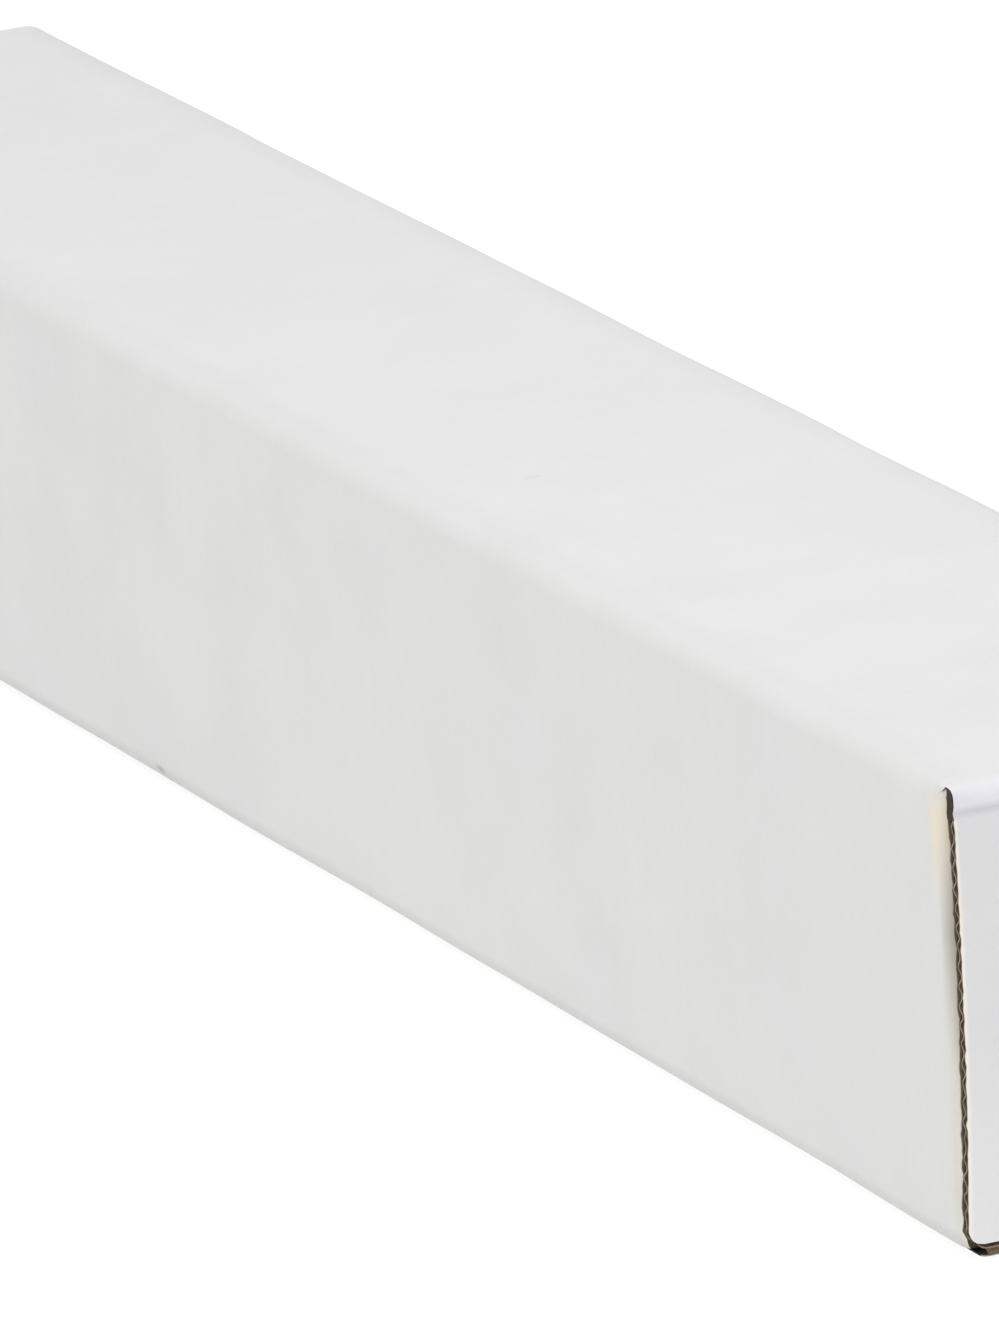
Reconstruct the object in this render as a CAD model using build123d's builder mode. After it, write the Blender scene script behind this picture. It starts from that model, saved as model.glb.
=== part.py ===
"""Square mailing tube, folded and glued from one blank of white-faced E-flute board.

The tube lies along X with its glued seam at the back (+Y) bottom corner. Each end is closed by two dust
flaps, which turn in from the side walls, and by a main flap that hinges at the end of the top wall and
tucks in above the bottom wall. The flutes run round the tube, so they open at the side edges of the flaps.
"""

import os
from math import cos, degrees, radians, sin, sqrt

from build123d import *

# Corrugated board
board = 1.6
facing = 0.25
flute_pitch = 3.24
flute_width = 2.0
flute_rise = 0.8

# Tube walls
inside_width = 76.2
inside_height = 76.2
inside_length = 508.0
fold_radius = 4.5
lap_height = 32.0
lap_taper = 8.0
seam_height = 2.4

# Dust flaps
dust_length = 30.0
dust_slot = 2.6
dust_relief = 3.2
dust_slope = 3.0
dust_corner = 6.0
layer_gap = 0.3

# Hinge fold between the top wall and a main flap
hinge_radius = 3.2
hinge_gap = 0.25
hinge_inset = 1.3
crease_width = 2.0
crease_depth = 0.25

# Main flaps
flap_inset = 0.5
flap_bow = 1.0
notch_depth = 2.8
notch_corner = 0.5
shoulder_gap = 1.1
shoulder_width = 6.5
shoulder_corner = 3.0

# Tuck along a main flap's lower edge
tuck_clearance = 0.45
tuck_length = 15.0
tuck_slope = 6.0
tuck_draw = 3.0
tuck_corner = 8.0
tuck_radius = 1.9
tuck_flutes = 3

# Bottom wall's raw ends
sill_inset = 2.3
sill_reach = 0.4
sill_groove = 1.1

# Sizes worked out from those above
half_width = (inside_width + 3 * board) / 2
height = inside_height + 2 * board
lap_face = half_width - board
turn = half_width - fold_radius
dust_face = inside_length / 2 + board
dust_edge = half_width - dust_length
wall_end = dust_face - fold_radius
sill_end = dust_face + sill_reach
flap_back = dust_face + layer_gap
flap_face = flap_back + board
flap_half = half_width - flap_inset
shoulder = board + shoulder_gap
tuck_half = flap_half - shoulder_width
clear_of_end = flap_face + fold_radius

# A flat across each corner that touches the long fold's round at its middle
corner_cut = fold_radius * (2 - sqrt(2))

# The hinge line is where the outer faces of the top wall and of the flap would meet
fold_centre = (flap_face - hinge_radius, height - hinge_radius)
mitre = 45.0
mitre_gap = degrees(hinge_gap / (2 * hinge_radius))

# A main flap's face is a shallow arc from its crease down to the tuck
bow_top = fold_centre[1] - crease_width
bow_bottom = board + tuck_clearance
bow_chord = bow_top - bow_bottom
bow_middle = (bow_top + bow_bottom) / 2
bow_radius = (bow_chord**2 / 4 + flap_bow**2) / (2 * flap_bow)


def on_fold(radius, angle):
    """A point of the hinge fold: 0 degrees is its top and 90 degrees is the flap's face."""
    turned = radians(angle)
    return (fold_centre[0] + radius * sin(turned), fold_centre[1] + radius * cos(turned))


def along_tuck(distance, rise):
    """A point of the tuck, by its distance in from the flap's face and its rise above the underside."""
    slope = radians(tuck_slope)
    return (
        flap_face - distance * cos(slope) + rise * sin(slope),
        bow_bottom + distance * sin(slope) + rise * cos(slope),
    )


# An open flute seen on its end, with the arched medium above the flat facing
with BuildSketch() as flute:
    with BuildLine():
        Line((-flute_width / 2, 0), (flute_width / 2, 0))
        ThreePointArc((flute_width / 2, 0), (0, flute_rise), (-flute_width / 2, 0))
    make_face()

# Dust flaps at +X, turned in from the two side walls
with BuildPart() as dust_flaps:
    with BuildSketch(Plane.XY.offset(dust_slot)) as dust_section:
        with BuildLine():
            Line((wall_end, lap_face), (wall_end, half_width))
            CenterArc((wall_end, turn), fold_radius, 0, 90)
            Line((dust_face, turn), (dust_face, dust_edge))
            Line((dust_face, dust_edge), (dust_face - board, dust_edge))
            Line((dust_face - board, dust_edge), (dust_face - board, turn))
            CenterArc((wall_end, turn), fold_radius - board, 0, 90)
        make_face()
        mirror(about=Plane.XZ)
    extrude(amount=height - 2 * dust_slot)

    # Their edges step back past the fold, then taper to round corners
    step = dust_slot + dust_relief
    with BuildSketch(Plane.YZ) as dust_outline:
        with BuildLine():
            Polyline(
                (half_width, dust_slot),
                (turn, dust_slot),
                (turn - 1, step),
                (dust_edge, step + dust_slope),
                (dust_edge, height - step - dust_slope),
                (turn - 1, height - step),
                (turn, height - dust_slot),
                (half_width, height - dust_slot),
                close=True,
            )
        make_face()
        fillet(dust_outline.vertices().group_by(Axis.X)[0], dust_corner)
        mirror(about=Plane.YZ)
    extrude(amount=clear_of_end, mode=Mode.INTERSECT)

# The other ends of the walls at +X, trimmed at the tube's corners
with BuildPart() as end_pieces:
    # Top wall's end, rounded down to the mitre where the flap's half of the fold begins
    with BuildSketch(Plane.XZ) as top_fold:
        inner = hinge_radius - board
        last = mitre - mitre_gap
        with BuildLine():
            Line((wall_end, height), on_fold(hinge_radius, 0))
            ThreePointArc(*[on_fold(hinge_radius, angle) for angle in (0, last / 2, last)])
            Line(on_fold(hinge_radius, last), on_fold(inner, last))
            ThreePointArc(*[on_fold(inner, angle) for angle in (last, last / 2, 0)])
            Line(on_fold(inner, 0), (wall_end, height - board))
            Line((wall_end, height - board), (wall_end, height))
        make_face()
    extrude(amount=half_width - hinge_inset, both=True)

    # Bottom wall's raw end, cut open along its last flute
    with BuildSketch(Plane.XZ) as sill:
        with BuildLine():
            Polyline((sill_end, board - facing), (sill_end, board), (wall_end, board))
            Polyline((wall_end, board), (wall_end, 0), (sill_end, 0), (sill_end, facing))
            ThreePointArc((sill_end, facing), (sill_end - sill_groove, board / 2), (sill_end, board - facing))
        make_face()
    extrude(amount=half_width - sill_inset, both=True)

    add(dust_flaps.part)
    with BuildSketch(Plane.YZ) as outline:
        with Locations((0, height / 2)):
            Rectangle(2 * half_width, height)
        chamfer(outline.vertices(), corner_cut)
    extrude(amount=clear_of_end, mode=Mode.INTERSECT)

with BuildPart() as tube_body:
    # Back, top, front and bottom walls, from the back wall's raw edge round to the seam corner
    seam_corner = (lap_face - fold_radius, fold_radius)
    with BuildSketch(Plane.YZ) as walls:
        with BuildLine():
            FilletPolyline(
                (half_width, seam_height),
                (half_width, height),
                (-half_width, height),
                (-half_width, 0),
                (seam_corner[0], 0),
                radius=fold_radius,
            )
            Line((seam_corner[0], 0), (seam_corner[0], board))
            FilletPolyline(
                (seam_corner[0], board),
                (board - half_width, board),
                (board - half_width, height - board),
                (lap_face, height - board),
                (lap_face, seam_height),
                radius=fold_radius - board,
            )
            Line((lap_face, seam_height), (half_width, seam_height))
        make_face()

        # Fold from the bottom wall up to the glued lap
        with BuildLine():
            CenterArc(seam_corner, fold_radius, -90, 90)
            Line((lap_face, fold_radius), (lap_face - board, fold_radius))
            CenterArc(seam_corner, fold_radius - board, -90, 90)
            Line((seam_corner[0], 0), (seam_corner[0], board))
        make_face()
    extrude(amount=wall_end, both=True)

    # Lap, glued flat inside the back wall, with tapered ends
    with BuildSketch(Plane.XZ.offset(-lap_face)) as lap:
        with BuildLine():
            Polyline(
                (-wall_end, fold_radius),
                (wall_end, fold_radius),
                (wall_end - lap_taper, lap_height),
                (lap_taper - wall_end, lap_height),
                close=True,
            )
        make_face()
    extrude(amount=board)

    add(end_pieces.part)
    mirror(end_pieces.part, about=Plane.YZ)

# Main flap at +X, closed, with its half of the hinge fold above and its tuck below
with BuildPart() as near_flap:
    with BuildSketch(Plane.XZ) as flap_section:
        inner = hinge_radius - board
        first = mitre + mitre_gap
        middle = (first + 90) / 2
        with BuildLine():
            ThreePointArc(*[on_fold(hinge_radius, angle) for angle in (first, middle, 90)])
            ThreePointArc(
                on_fold(hinge_radius, 90),
                (flap_face - crease_depth, bow_top + crease_width / 2),
                (flap_face, bow_top),
            )
            ThreePointArc((flap_face, bow_top), (flap_face + flap_bow, bow_middle), (flap_face, bow_bottom))
            Line((flap_face, bow_bottom), along_tuck(tuck_length, 0))
            Line(along_tuck(tuck_length, 0), along_tuck(tuck_length, board))
            Line(along_tuck(tuck_length, board), along_tuck(board, board))
            ThreePointArc(along_tuck(board, board), (flap_back + flap_bow, bow_middle), (flap_back, bow_top))
            Line((flap_back, bow_top), on_fold(inner, 90))
            ThreePointArc(*[on_fold(inner, angle) for angle in (90, middle, first)])
            Line(on_fold(inner, first), on_fold(hinge_radius, first))
        make_face()
        fillet(flap_section.vertices().sort_by_distance((flap_face, bow_bottom))[0], tuck_radius)

        # Flutes open on the outer and the inner facing in turn, along the bow
        cavity = board / 2 - facing
        middle_radius = bow_radius - board / 2
        pitch_angle = degrees(flute_pitch / middle_radius)
        flutes = int((bow_chord - 3 * board) / flute_pitch)
        with Locations((flap_face + flap_bow - bow_radius, bow_middle)):
            for row, count, radius in ((90, flutes, cavity), (-90, flutes - 1, -cavity)):
                span = pitch_angle * (count - 1)
                with PolarLocations(middle_radius + radius, count, -span / 2, span, endpoint=True):
                    add(flute.sketch, rotation=row, mode=Mode.SUBTRACT)

        # The same flutes go on along the tuck
        for row, count, rise in ((0, tuck_flutes, facing), (180, tuck_flutes - 1, board - facing)):
            row_centre = along_tuck(board + tuck_length / 2, rise)
            with Locations(Location((*row_centre, 0), (0, 0, -tuck_slope))):
                with GridLocations(flute_pitch, 0, count, 1):
                    add(flute.sketch, rotation=row, mode=Mode.SUBTRACT)
    extrude(amount=flap_half, both=True)

    # Front outline: notched beside the hinge, round at the shoulders, narrower at the tuck
    with BuildSketch(Plane.YZ) as flap_outline:
        notch = height - notch_depth
        with Locations((0, (notch + shoulder) / 2)):
            Rectangle(2 * flap_half, notch - shoulder)
        fillet(flap_outline.vertices().group_by(Axis.Y)[0], shoulder_corner)
        fillet(flap_outline.vertices().group_by(Axis.Y)[-1], notch_corner)
        with Locations((0, height - notch_depth)):
            Rectangle(2 * (half_width - hinge_inset), 2 * notch_depth)
        with Locations((0, shoulder)):
            Rectangle(2 * tuck_half, 2 * shoulder)
    extrude(amount=clear_of_end, mode=Mode.INTERSECT)

    # Plan outline of the tuck, which draws in to round corners
    tuck_end = along_tuck(tuck_length, 0)[0]
    with BuildSketch(mode=Mode.PRIVATE) as tuck_plan:
        with BuildLine():
            Polyline(
                (tuck_end, tuck_draw - tuck_half),
                (tuck_end, tuck_half - tuck_draw),
                (flap_back, tuck_half),
                (flap_back, -tuck_half),
                close=True,
            )
        make_face()
        fillet(tuck_plan.vertices().group_by(Axis.X)[0], tuck_corner)
    with BuildSketch() as tuck_waste:
        with Locations(((tuck_end + flap_back) / 2, 0)):
            Rectangle(flap_back - tuck_end, 2 * half_width)
        add(tuck_plan.sketch, mode=Mode.SUBTRACT)
    extrude(amount=bow_middle, mode=Mode.SUBTRACT)

# Main flap at the other end, the same piece turned to face -X
with BuildPart() as far_flap:
    mirror(near_flap.part, about=Plane.YZ)

tube_body.part.label = "tube_body"
near_flap.part.label = "near_flap"
far_flap.part.label = "far_flap"

os.makedirs("parts", exist_ok=True)
export_step(tube_body.part, "parts/tube_body.step")
export_step(near_flap.part, "parts/near_flap.step")
export_step(far_flap.part, "parts/far_flap.step")
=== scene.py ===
"""Looks of a square corrugated mailing tube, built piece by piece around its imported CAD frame.

The board is made as real board is: a white outer paper, a fluted medium and a brown lining. Papers start
as a row of edges that is extruded and spun along the folds, and the flutes are rows of a sheet moved to a
wave. Sizes are in metres. X runs along the tube, Y across it and Z up, as in the CAD.
"""

import math

import bmesh
import bpy
from mathutils import Matrix, Vector, noise


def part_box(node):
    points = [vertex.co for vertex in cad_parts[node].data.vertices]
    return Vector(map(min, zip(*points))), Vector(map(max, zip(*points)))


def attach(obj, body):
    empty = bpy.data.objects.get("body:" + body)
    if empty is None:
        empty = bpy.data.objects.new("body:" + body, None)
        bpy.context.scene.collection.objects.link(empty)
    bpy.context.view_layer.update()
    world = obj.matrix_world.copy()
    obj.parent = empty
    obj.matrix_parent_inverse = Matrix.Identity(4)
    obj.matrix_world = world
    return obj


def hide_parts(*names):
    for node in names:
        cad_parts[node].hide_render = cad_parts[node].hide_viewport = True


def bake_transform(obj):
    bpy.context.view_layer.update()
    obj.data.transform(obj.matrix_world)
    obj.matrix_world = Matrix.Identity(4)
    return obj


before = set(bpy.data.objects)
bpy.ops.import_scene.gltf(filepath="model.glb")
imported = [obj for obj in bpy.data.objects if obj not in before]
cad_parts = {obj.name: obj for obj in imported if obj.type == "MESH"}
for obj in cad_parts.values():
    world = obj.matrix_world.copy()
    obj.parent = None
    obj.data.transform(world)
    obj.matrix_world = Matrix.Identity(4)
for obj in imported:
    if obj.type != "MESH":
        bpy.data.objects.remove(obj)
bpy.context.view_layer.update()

bl_info = {
    "name": "Mailing Tube",
    "version": (1, 0, 0),
    "blender": (4, 5, 0),
    "location": "View3D > Sidebar > Mailing Tube",
    "description": "Builds the papers, flutes, folds and flaps of a square corrugated mailing tube",
    "category": "Add Mesh",
}

MM = 0.001
X, Y, Z = 0, 1, 2

# Points closer than TINY are one point, and an edge within NEAR of a line lies on it
TINY = 0.01 * MM
NEAR = 0.1 * MM

# Powers of a rounded corner: a circle's, and what is added to it towards a square one
CIRCLE = 2
END_CORNER_GAIN = 4
HINGE_CORNER_GAIN = 3

# Cuts and steps that divide the sheets, and the shortest stretch of wall that is divided
SHORTEST_WALL = 15 * MM
WALL_COLUMNS = 83
WALL_ROWS = 9
TURN_STEPS = 8
DUST_CORNER_STEPS = 5
HINGE_COLUMNS = 19
HINGE_ROWS = 3
HINGE_STEPS = 14
FLAP_MIDDLE_COLUMNS = 14
FLAP_SIDE_COLUMNS = 3
BOW_STEPS = 72
SHOULDER_ROWS = 4
TUCK_ROWS = 6

# Waves of the walls, which fade out over the calm run beside the end folds
WAVE_LENGTH = 60 * MM
WAVE_LEVEL = 0.62
CALM_RUN = 40 * MM

# Ends of the side walls: what stays with the top and bottom walls, the dust flap's first stretch, the cut
# of its corners, and how far the back one's upper corner may lie behind the face and inside the line of
# its edge
FOLD_KEPT = 1.7 * MM
LAP_CLEARANCE = 1 * MM
DUST_NECK = 1 * MM
DUST_CORNER_CUT = 0.6
DUST_FACE_REACH = 1 * MM
DUST_CORNER_REACH = 0.6 * MM

# Raw ends of the bottom wall, and where the raw cut of a side wall's foot starts
SILL_INSET = 2.5 * MM
RAW_START = 0.4 * MM

# Front corner of a hinge: how fast its thickness grows and its squareness fades, and its lip's gap
THICKNESS_GAIN = 2.2
SQUARE_FADE = 14
LIP_GAP = 0.12 * MM

# Rough cut of a flap: the outer part of its edge that strays, and how often in one flute's pitch
ROUGH_FROM = 0.9
ROUGH_RATE = 2
ROUGH_SHIFT = 1000

# Flutes of the flaps and of the raw edges: their shading, gaps to the edges, counts and reaches
FLUTE_SMOOTH = 60
FLUTE_GAP = 0.1 * MM
DUST_FLUTES = 7
DUST_EDGE_GAP = 1.2 * MM
SEAM_INSET = 1 * MM
SEAM_DEPTH = 3 * MM
SILL_FLUTES = 3
SILL_DEPTH = 0.3 * MM
SILL_FRONT = -36 * MM
SILL_BACK = 35 * MM

# Small marks of use: middle, reach and darkest shade
TOP_MARK = ((0.0641, -0.0173, 0.0793), (0.0012, 0.0024, 0.003), 0.94)
FOOT_NICK = ((-0.0439, -0.0404, 0.003), (0.0024, 0.004, 0.0009), 0.75)

# Stretches at the walls' ends, and along the flaps' cut edges, that have the tints below, some of them
# painted light and shade
END_REACH = 2.4 * MM
WIDE_END_REACH = 3.8 * MM
EDGE_HIGHLIGHT_REACH = 0.7 * MM

# Tints of the white paper on the sides, at the ends, on the hinges and on the flaps. Among them painted
# light and shade: the ends' cream is painted reflected light, their brown painted shade and their pale
# painted light, the hinges' turn a painted highlight, the flaps' foot painted light, their head painted
# shade and their edge a painted highlight
SIDE_COOL = (0.7, 0.706, 0.698, 1)
SIDE_WARM = (0.713, 0.712, 0.682, 1)
END_CREAM = (0.79, 0.72, 0.6, 1)
END_BROWN = (0.44, 0.4, 0.34, 1)
END_PALE = (0.95, 0.93, 0.84, 1)
HINGE_TURN = (0.74, 0.73, 0.78, 1)
HINGE_LOW = (0.7, 0.692, 0.72, 1)
FLAP_MIDDLE = (0.704, 0.7, 0.708, 1)
FLAP_FOOT = (0.772, 0.76, 0.762, 1)
FLAP_HEAD = (0.694, 0.685, 0.699, 1)
FLAP_EDGE_HIGHLIGHT = (0.88, 0.82, 0.76, 1)

# Radians that a wave texture turns through in one unit at scale 1
WAVE_TEXTURE_RATE = 20

# Floor, light and the camera at the photograph's viewing angle
FLOOR_SIZE = 60
FLOOR_LEVEL = -0.05 * MM
FLOOR_GREY = (0.35, 0.35, 0.35)
FLOOR_GLOW = 0.76
SKY_STRENGTH = 0.7
LIGHT_PLACE = (0.45, -0.28, 1.6)
LIGHT_SIZE = 1.4
LIGHT_POWER = 15
CAMERA_LENS = 435.1
CAMERA_SENSOR = 36
CAMERA_FARTHEST = 100
CAMERA_PLACE = (2.41027, -1.1534, 0.85745)
CAMERA_RIGHT = (0.44587, 0.89389, -0.04654)
CAMERA_UP = (-0.24641, 0.17255, 0.95368)
CAMERA_BACK = (0.86052, -0.41375, 0.2972)

_, tube_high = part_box("tube_body")
_, flap_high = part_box("near_flap")


def size_prop(name, description, default):
    """A length that the user can change."""
    return bpy.props.FloatProperty(name=name, description=description, default=default, unit="LENGTH")


def colour_prop(name, description, default):
    """A colour that the user can change."""
    return bpy.props.FloatVectorProperty(
        name=name, description=description, default=default, size=3, subtype="COLOR"
    )


class BoardSizes(bpy.types.PropertyGroup):
    """Sizes of the corrugated board"""

    thickness: size_prop("Thickness", "Thickness of the board", 1.6 * MM)
    paper: size_prop("Paper", "Thickness of each facing paper", 0.25 * MM)
    medium: size_prop("Medium", "Thickness of the fluted medium", 0.25 * MM)
    pitch: size_prop("Flute pitch", "Distance from one flute to the next", 3.24 * MM)
    wave_rows: bpy.props.IntProperty(name="Wave rows", description="Rows of faces in one flute", default=8)
    waviness: size_prop("Waviness", "How far the walls stray from flat", 0.35 * MM)
    rough_cut: size_prop("Rough cut", "How far a flap's cut edge strays", 0.3 * MM)


class TubeSizes(bpy.types.PropertyGroup):
    """Sizes of the walls, the lap and the dust flaps"""

    half_width: size_prop("Half width", "Half of the tube's width", tube_high.y)
    height: size_prop("Height", "Height of the tube", tube_high.z)
    wall_end: size_prop("Wall end", "Where the walls' end folds begin", 251.1 * MM)
    fold_radius: size_prop("Fold radius", "Outer radius of the long folds", 4.5 * MM)
    fold_steps: bpy.props.IntProperty(name="Fold steps", description="Faces around a long fold", default=8)
    lap_height: size_prop("Lap height", "Height of the glued lap", 32 * MM)
    lap_taper: size_prop("Lap taper", "How far the lap's ends draw in", 8 * MM)
    seam_height: size_prop("Seam height", "Height of the back wall's raw edge", 2.4 * MM)
    dust_length: size_prop("Dust flap length", "Length of each dust flap", 30 * MM)
    dust_slot: size_prop("Dust flap slot", "Slot above and below a dust flap's fold", 2.6 * MM)
    dust_relief: size_prop("Dust flap relief", "Step of a dust flap's edge past its fold", 3.2 * MM)
    dust_slope: size_prop("Dust flap slope", "Taper of a dust flap's edges", 3 * MM)
    dust_corner: size_prop("Dust flap corner", "Radius of a dust flap's corners", 6 * MM)
    corner_run: size_prop("Corner run", "Stretch over which a fold's end turns square", 4.8 * MM)
    corner_power: bpy.props.FloatProperty(
        name="Corner power", description="How square a fold's end is, from 2 for a circle", default=12
    )
    raw_height: size_prop("Raw height", "Height of the raw cut at a side wall's foot", 4 * MM)
    sill_length: size_prop("Sill length", "How far the bottom wall runs past the folds", 4.9 * MM)


class FlapSizes(bpy.types.PropertyGroup):
    """Sizes of the main flaps, their hinges and their tucks"""

    face: size_prop("Flap face", "Where the main flap's outer face stands", 257.5 * MM)
    half_width: size_prop("Half width", "Half of the main flap's width", flap_high.y)
    hinge_radius: size_prop("Hinge radius", "Outer radius of the hinge fold", 3.2 * MM)
    hinge_inset: size_prop("Hinge inset", "How far the hinge fold stays in from the sides", 0.5 * MM)
    crease_width: size_prop("Crease width", "Width of the crushed crease", 2 * MM)
    crease_depth: size_prop("Crease depth", "Depth of the crushed crease", 0.3 * MM)
    thinnest: bpy.props.FloatProperty(
        name="Thinnest", description="Part of the thickness left at the hinge's corners", default=0.03
    )
    bow: size_prop("Bow", "How far the flap's middle stands out", 1 * MM)
    skew: size_prop("Skew", "How far the flap's foot hangs to the front", 0.25 * MM)
    draw_in: size_prop("Draw-in", "How far the tuck draws the flap's foot in", 0.45 * MM)
    cut_slope: size_prop("Cut slope", "How far the lining stands past the face at a cut", 0.4 * MM)
    foot: size_prop("Foot", "Height of the flap's lower corner line", 2.05 * MM)
    shoulder: size_prop("Shoulder", "Height of the flap's edge beside the tuck", 2.7 * MM)
    shoulder_corner: size_prop("Shoulder corner", "Radius of the flap's lower corners", 2.8 * MM)
    tuck_half: size_prop("Tuck half width", "Half of the tuck's width", 33.5 * MM)
    tuck_length: size_prop("Tuck length", "Length of the tuck", 15 * MM)
    tuck_radius: size_prop("Tuck radius", "Outer radius of the tuck's fold", 1.9 * MM)
    tuck_slope: bpy.props.FloatProperty(
        name="Tuck slope", description="Rise of the tuck", default=math.radians(6), subtype="ANGLE"
    )
    tuck_draw: size_prop("Tuck draw", "How far the tuck's end draws in", 3 * MM)
    tuck_corner: size_prop("Tuck corner", "Radius of the tuck's corners", 8 * MM)


class Finishes(bpy.types.PropertyGroup):
    """Colours of the papers and of their raw edges"""

    white: colour_prop("White", "Outer paper", (0.705, 0.705, 0.705))
    kraft: colour_prop("Kraft", "Brown lining", (0.44, 0.31, 0.19))
    # Darker than the lining: the medium's own brown with painted shade of the flute pockets
    fluting: colour_prop("Fluting", "Brown medium", (0.145, 0.114, 0.087))
    cut_edge: colour_prop("Cut edge", "Raw edges of the papers", (0.32, 0.26, 0.2))
    lining_edge: colour_prop(
        "Lining edge", "Raw edges of the flaps' linings and of the bottom wall", (0.36, 0.315, 0.26)
    )
    # Near-black: the raw edges' brown with painted shade of the slits and gaps where they lie
    painted_shade_edge: colour_prop(
        "Painted shade edge", "Raw edges of the hinges and at the side walls' feet", (0.055, 0.042, 0.032)
    )


def sizes():
    """The three groups of sizes."""
    scene = bpy.context.scene
    return scene.board_sizes, scene.tube_sizes, scene.flap_sizes


# Making and finishing a piece


def select_only(piece):
    """Select a piece alone and make it active."""
    bpy.ops.object.select_all(action="DESELECT")
    piece.select_set(True)
    bpy.context.view_layer.objects.active = piece


def new_row(name, ends):
    """A piece that starts as one edge between two points: a plane with its far side deleted."""
    start, end = (Vector(point) for point in ends)
    bpy.ops.object.select_all(action="DESELECT")
    bpy.ops.mesh.primitive_plane_add(size=1, location=(0, 0, 0))
    piece = bpy.context.active_object
    piece.name = piece.data.name = name
    bpy.ops.object.mode_set(mode="EDIT")
    pick(piece, "VERT", lambda spot: spot.y > 0)
    bpy.ops.mesh.delete(type="VERT")
    bpy.ops.object.mode_set(mode="OBJECT")
    for vertex in piece.data.vertices:
        vertex.co = start if vertex.co.x < 0 else end
    return piece


def pick(piece, kind, test, add=False):
    """In edit mode, select the vertices, edges or faces whose corners all pass the test."""
    bpy.ops.mesh.select_mode(type=kind)
    if not add:
        bpy.ops.mesh.select_all(action="DESELECT")
    shape = bmesh.from_edit_mesh(piece.data)
    parts = {"VERT": shape.verts, "EDGE": shape.edges, "FACE": shape.faces}[kind]
    for part in parts:
        corners = [part.co] if kind == "VERT" else [vertex.co for vertex in part.verts]
        if all(test(corner) for corner in corners):
            part.select_set(True)
    shape.select_flush_mode()
    bmesh.update_edit_mesh(piece.data)


def pick_edges_along(piece, axis, shortest=0.0):
    """In edit mode, select the edges that run along an axis and are longer than the shortest."""
    bpy.ops.mesh.select_mode(type="EDGE")
    bpy.ops.mesh.select_all(action="DESELECT")
    shape = bmesh.from_edit_mesh(piece.data)
    along_share = 0.99
    for edge in shape.edges:
        run = edge.verts[1].co - edge.verts[0].co
        if run.length > shortest and abs(run[axis]) > along_share * run.length:
            edge.select_set(True)
    bmesh.update_edit_mesh(piece.data)


def extrude(move):
    """Extrude the selected edges or faces by a move."""
    bpy.ops.mesh.extrude_region_move(TRANSFORM_OT_translate={"value": tuple(move)})


def spin(centre, axis, angle, steps):
    """Spin the selected edges about an axis, with a positive angle turning right-handed."""
    bpy.ops.mesh.spin(steps=steps, angle=-angle, center=tuple(centre), axis=tuple(axis))


def merge(piece):
    """Merge doubled corners and point the faces outwards or up."""
    bpy.ops.mesh.select_all(action="SELECT")
    bpy.ops.mesh.remove_doubles(threshold=TINY)
    bpy.ops.mesh.normals_make_consistent(inside=False)


def face_out(piece, spot, direction):
    """Turn an open sheet over if its face nearest to a spot doesn't look in the direction."""
    nearest = min(piece.data.polygons, key=lambda face: (face.center - Vector(spot)).length)
    if nearest.normal.dot(Vector(direction)) < 0:
        bpy.ops.object.mode_set(mode="EDIT")
        bpy.ops.mesh.select_all(action="SELECT")
        bpy.ops.mesh.flip_normals()
        bpy.ops.object.mode_set(mode="OBJECT")


def sink(piece, depth):
    """Move a whole sheet inwards by a depth, square to its surface."""
    select_only(piece)
    bpy.ops.object.mode_set(mode="EDIT")
    bpy.ops.mesh.select_all(action="SELECT")
    bpy.ops.transform.shrink_fatten(value=-depth, use_even_offset=True)
    bpy.ops.object.mode_set(mode="OBJECT")


def thicken(piece, thickness, *materials, centred=False, group=None, smooth=35):
    """Give a sheet its thickness, its materials, outside, inside and on the rim, and its shading."""
    names = materials * 3 if len(materials) == 1 else materials
    piece.data.materials.clear()
    for name in names:
        piece.data.materials.append(finish_named(name))
    select_only(piece)
    solidify = piece.modifiers.new("Thickness", "SOLIDIFY")
    solidify.thickness = thickness
    solidify.offset = 0 if centred else -1
    solidify.use_even_offset = True
    solidify.material_offset = 1
    solidify.material_offset_rim = 2
    if group:
        solidify.vertex_group = group
    bpy.ops.object.modifier_apply(modifier=solidify.name)
    bpy.ops.object.shade_smooth_by_angle(angle=math.radians(smooth))


def copy_piece(piece, name):
    """A copy of a piece with its own mesh."""
    twin = piece.copy()
    twin.data = piece.data.copy()
    twin.name = twin.data.name = name
    bpy.context.scene.collection.objects.link(twin)
    return twin


def mirror_to_far_end(piece, name):
    """A copy of a piece of the +X end, mirrored to the other end."""
    twin = copy_piece(piece, name)
    twin.data.transform(Matrix.Scale(-1, 4, (1, 0, 0)))
    twin.data.flip_normals()
    return twin


def squared(angle, power):
    """The two legs of a rounding at an angle: a circle's at power 2, nearly a square's at high powers."""
    return math.sin(angle) ** (CIRCLE / power), max(math.cos(angle), 0) ** (CIRCLE / power)


def corner_inset(radius, left):
    """How far a round corner draws an edge in where this much is left to the corner's end."""
    short = max(radius - left, 0)
    return radius - math.sqrt(max(radius**2 - short**2, 0))


def fold_power(x):
    """How square the front long folds are at a place along the tube."""
    _, tube, flap = sizes()
    hinge_start = flap.face - flap.hinge_radius
    reach = min(max((abs(x) - hinge_start) / tube.corner_run + 1, 0), 1)
    return CIRCLE + (tube.corner_power - CIRCLE) * reach**2


def carry(piece, body, *nodes):
    """Make a piece move with a body and stand for CAD nodes, which are hidden."""
    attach(piece, body)
    if nodes:
        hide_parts(*nodes)


# Finishes


def new_material(name):
    """An empty material and its node tree, principled shader and object coordinates."""
    material = bpy.data.materials.new(name)
    material.use_nodes = True
    tree = material.node_tree
    shader = tree.nodes["Principled BSDF"]
    place = tree.nodes.new("ShaderNodeTexCoord")
    return material, tree, shader, place.outputs["Object"]


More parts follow.
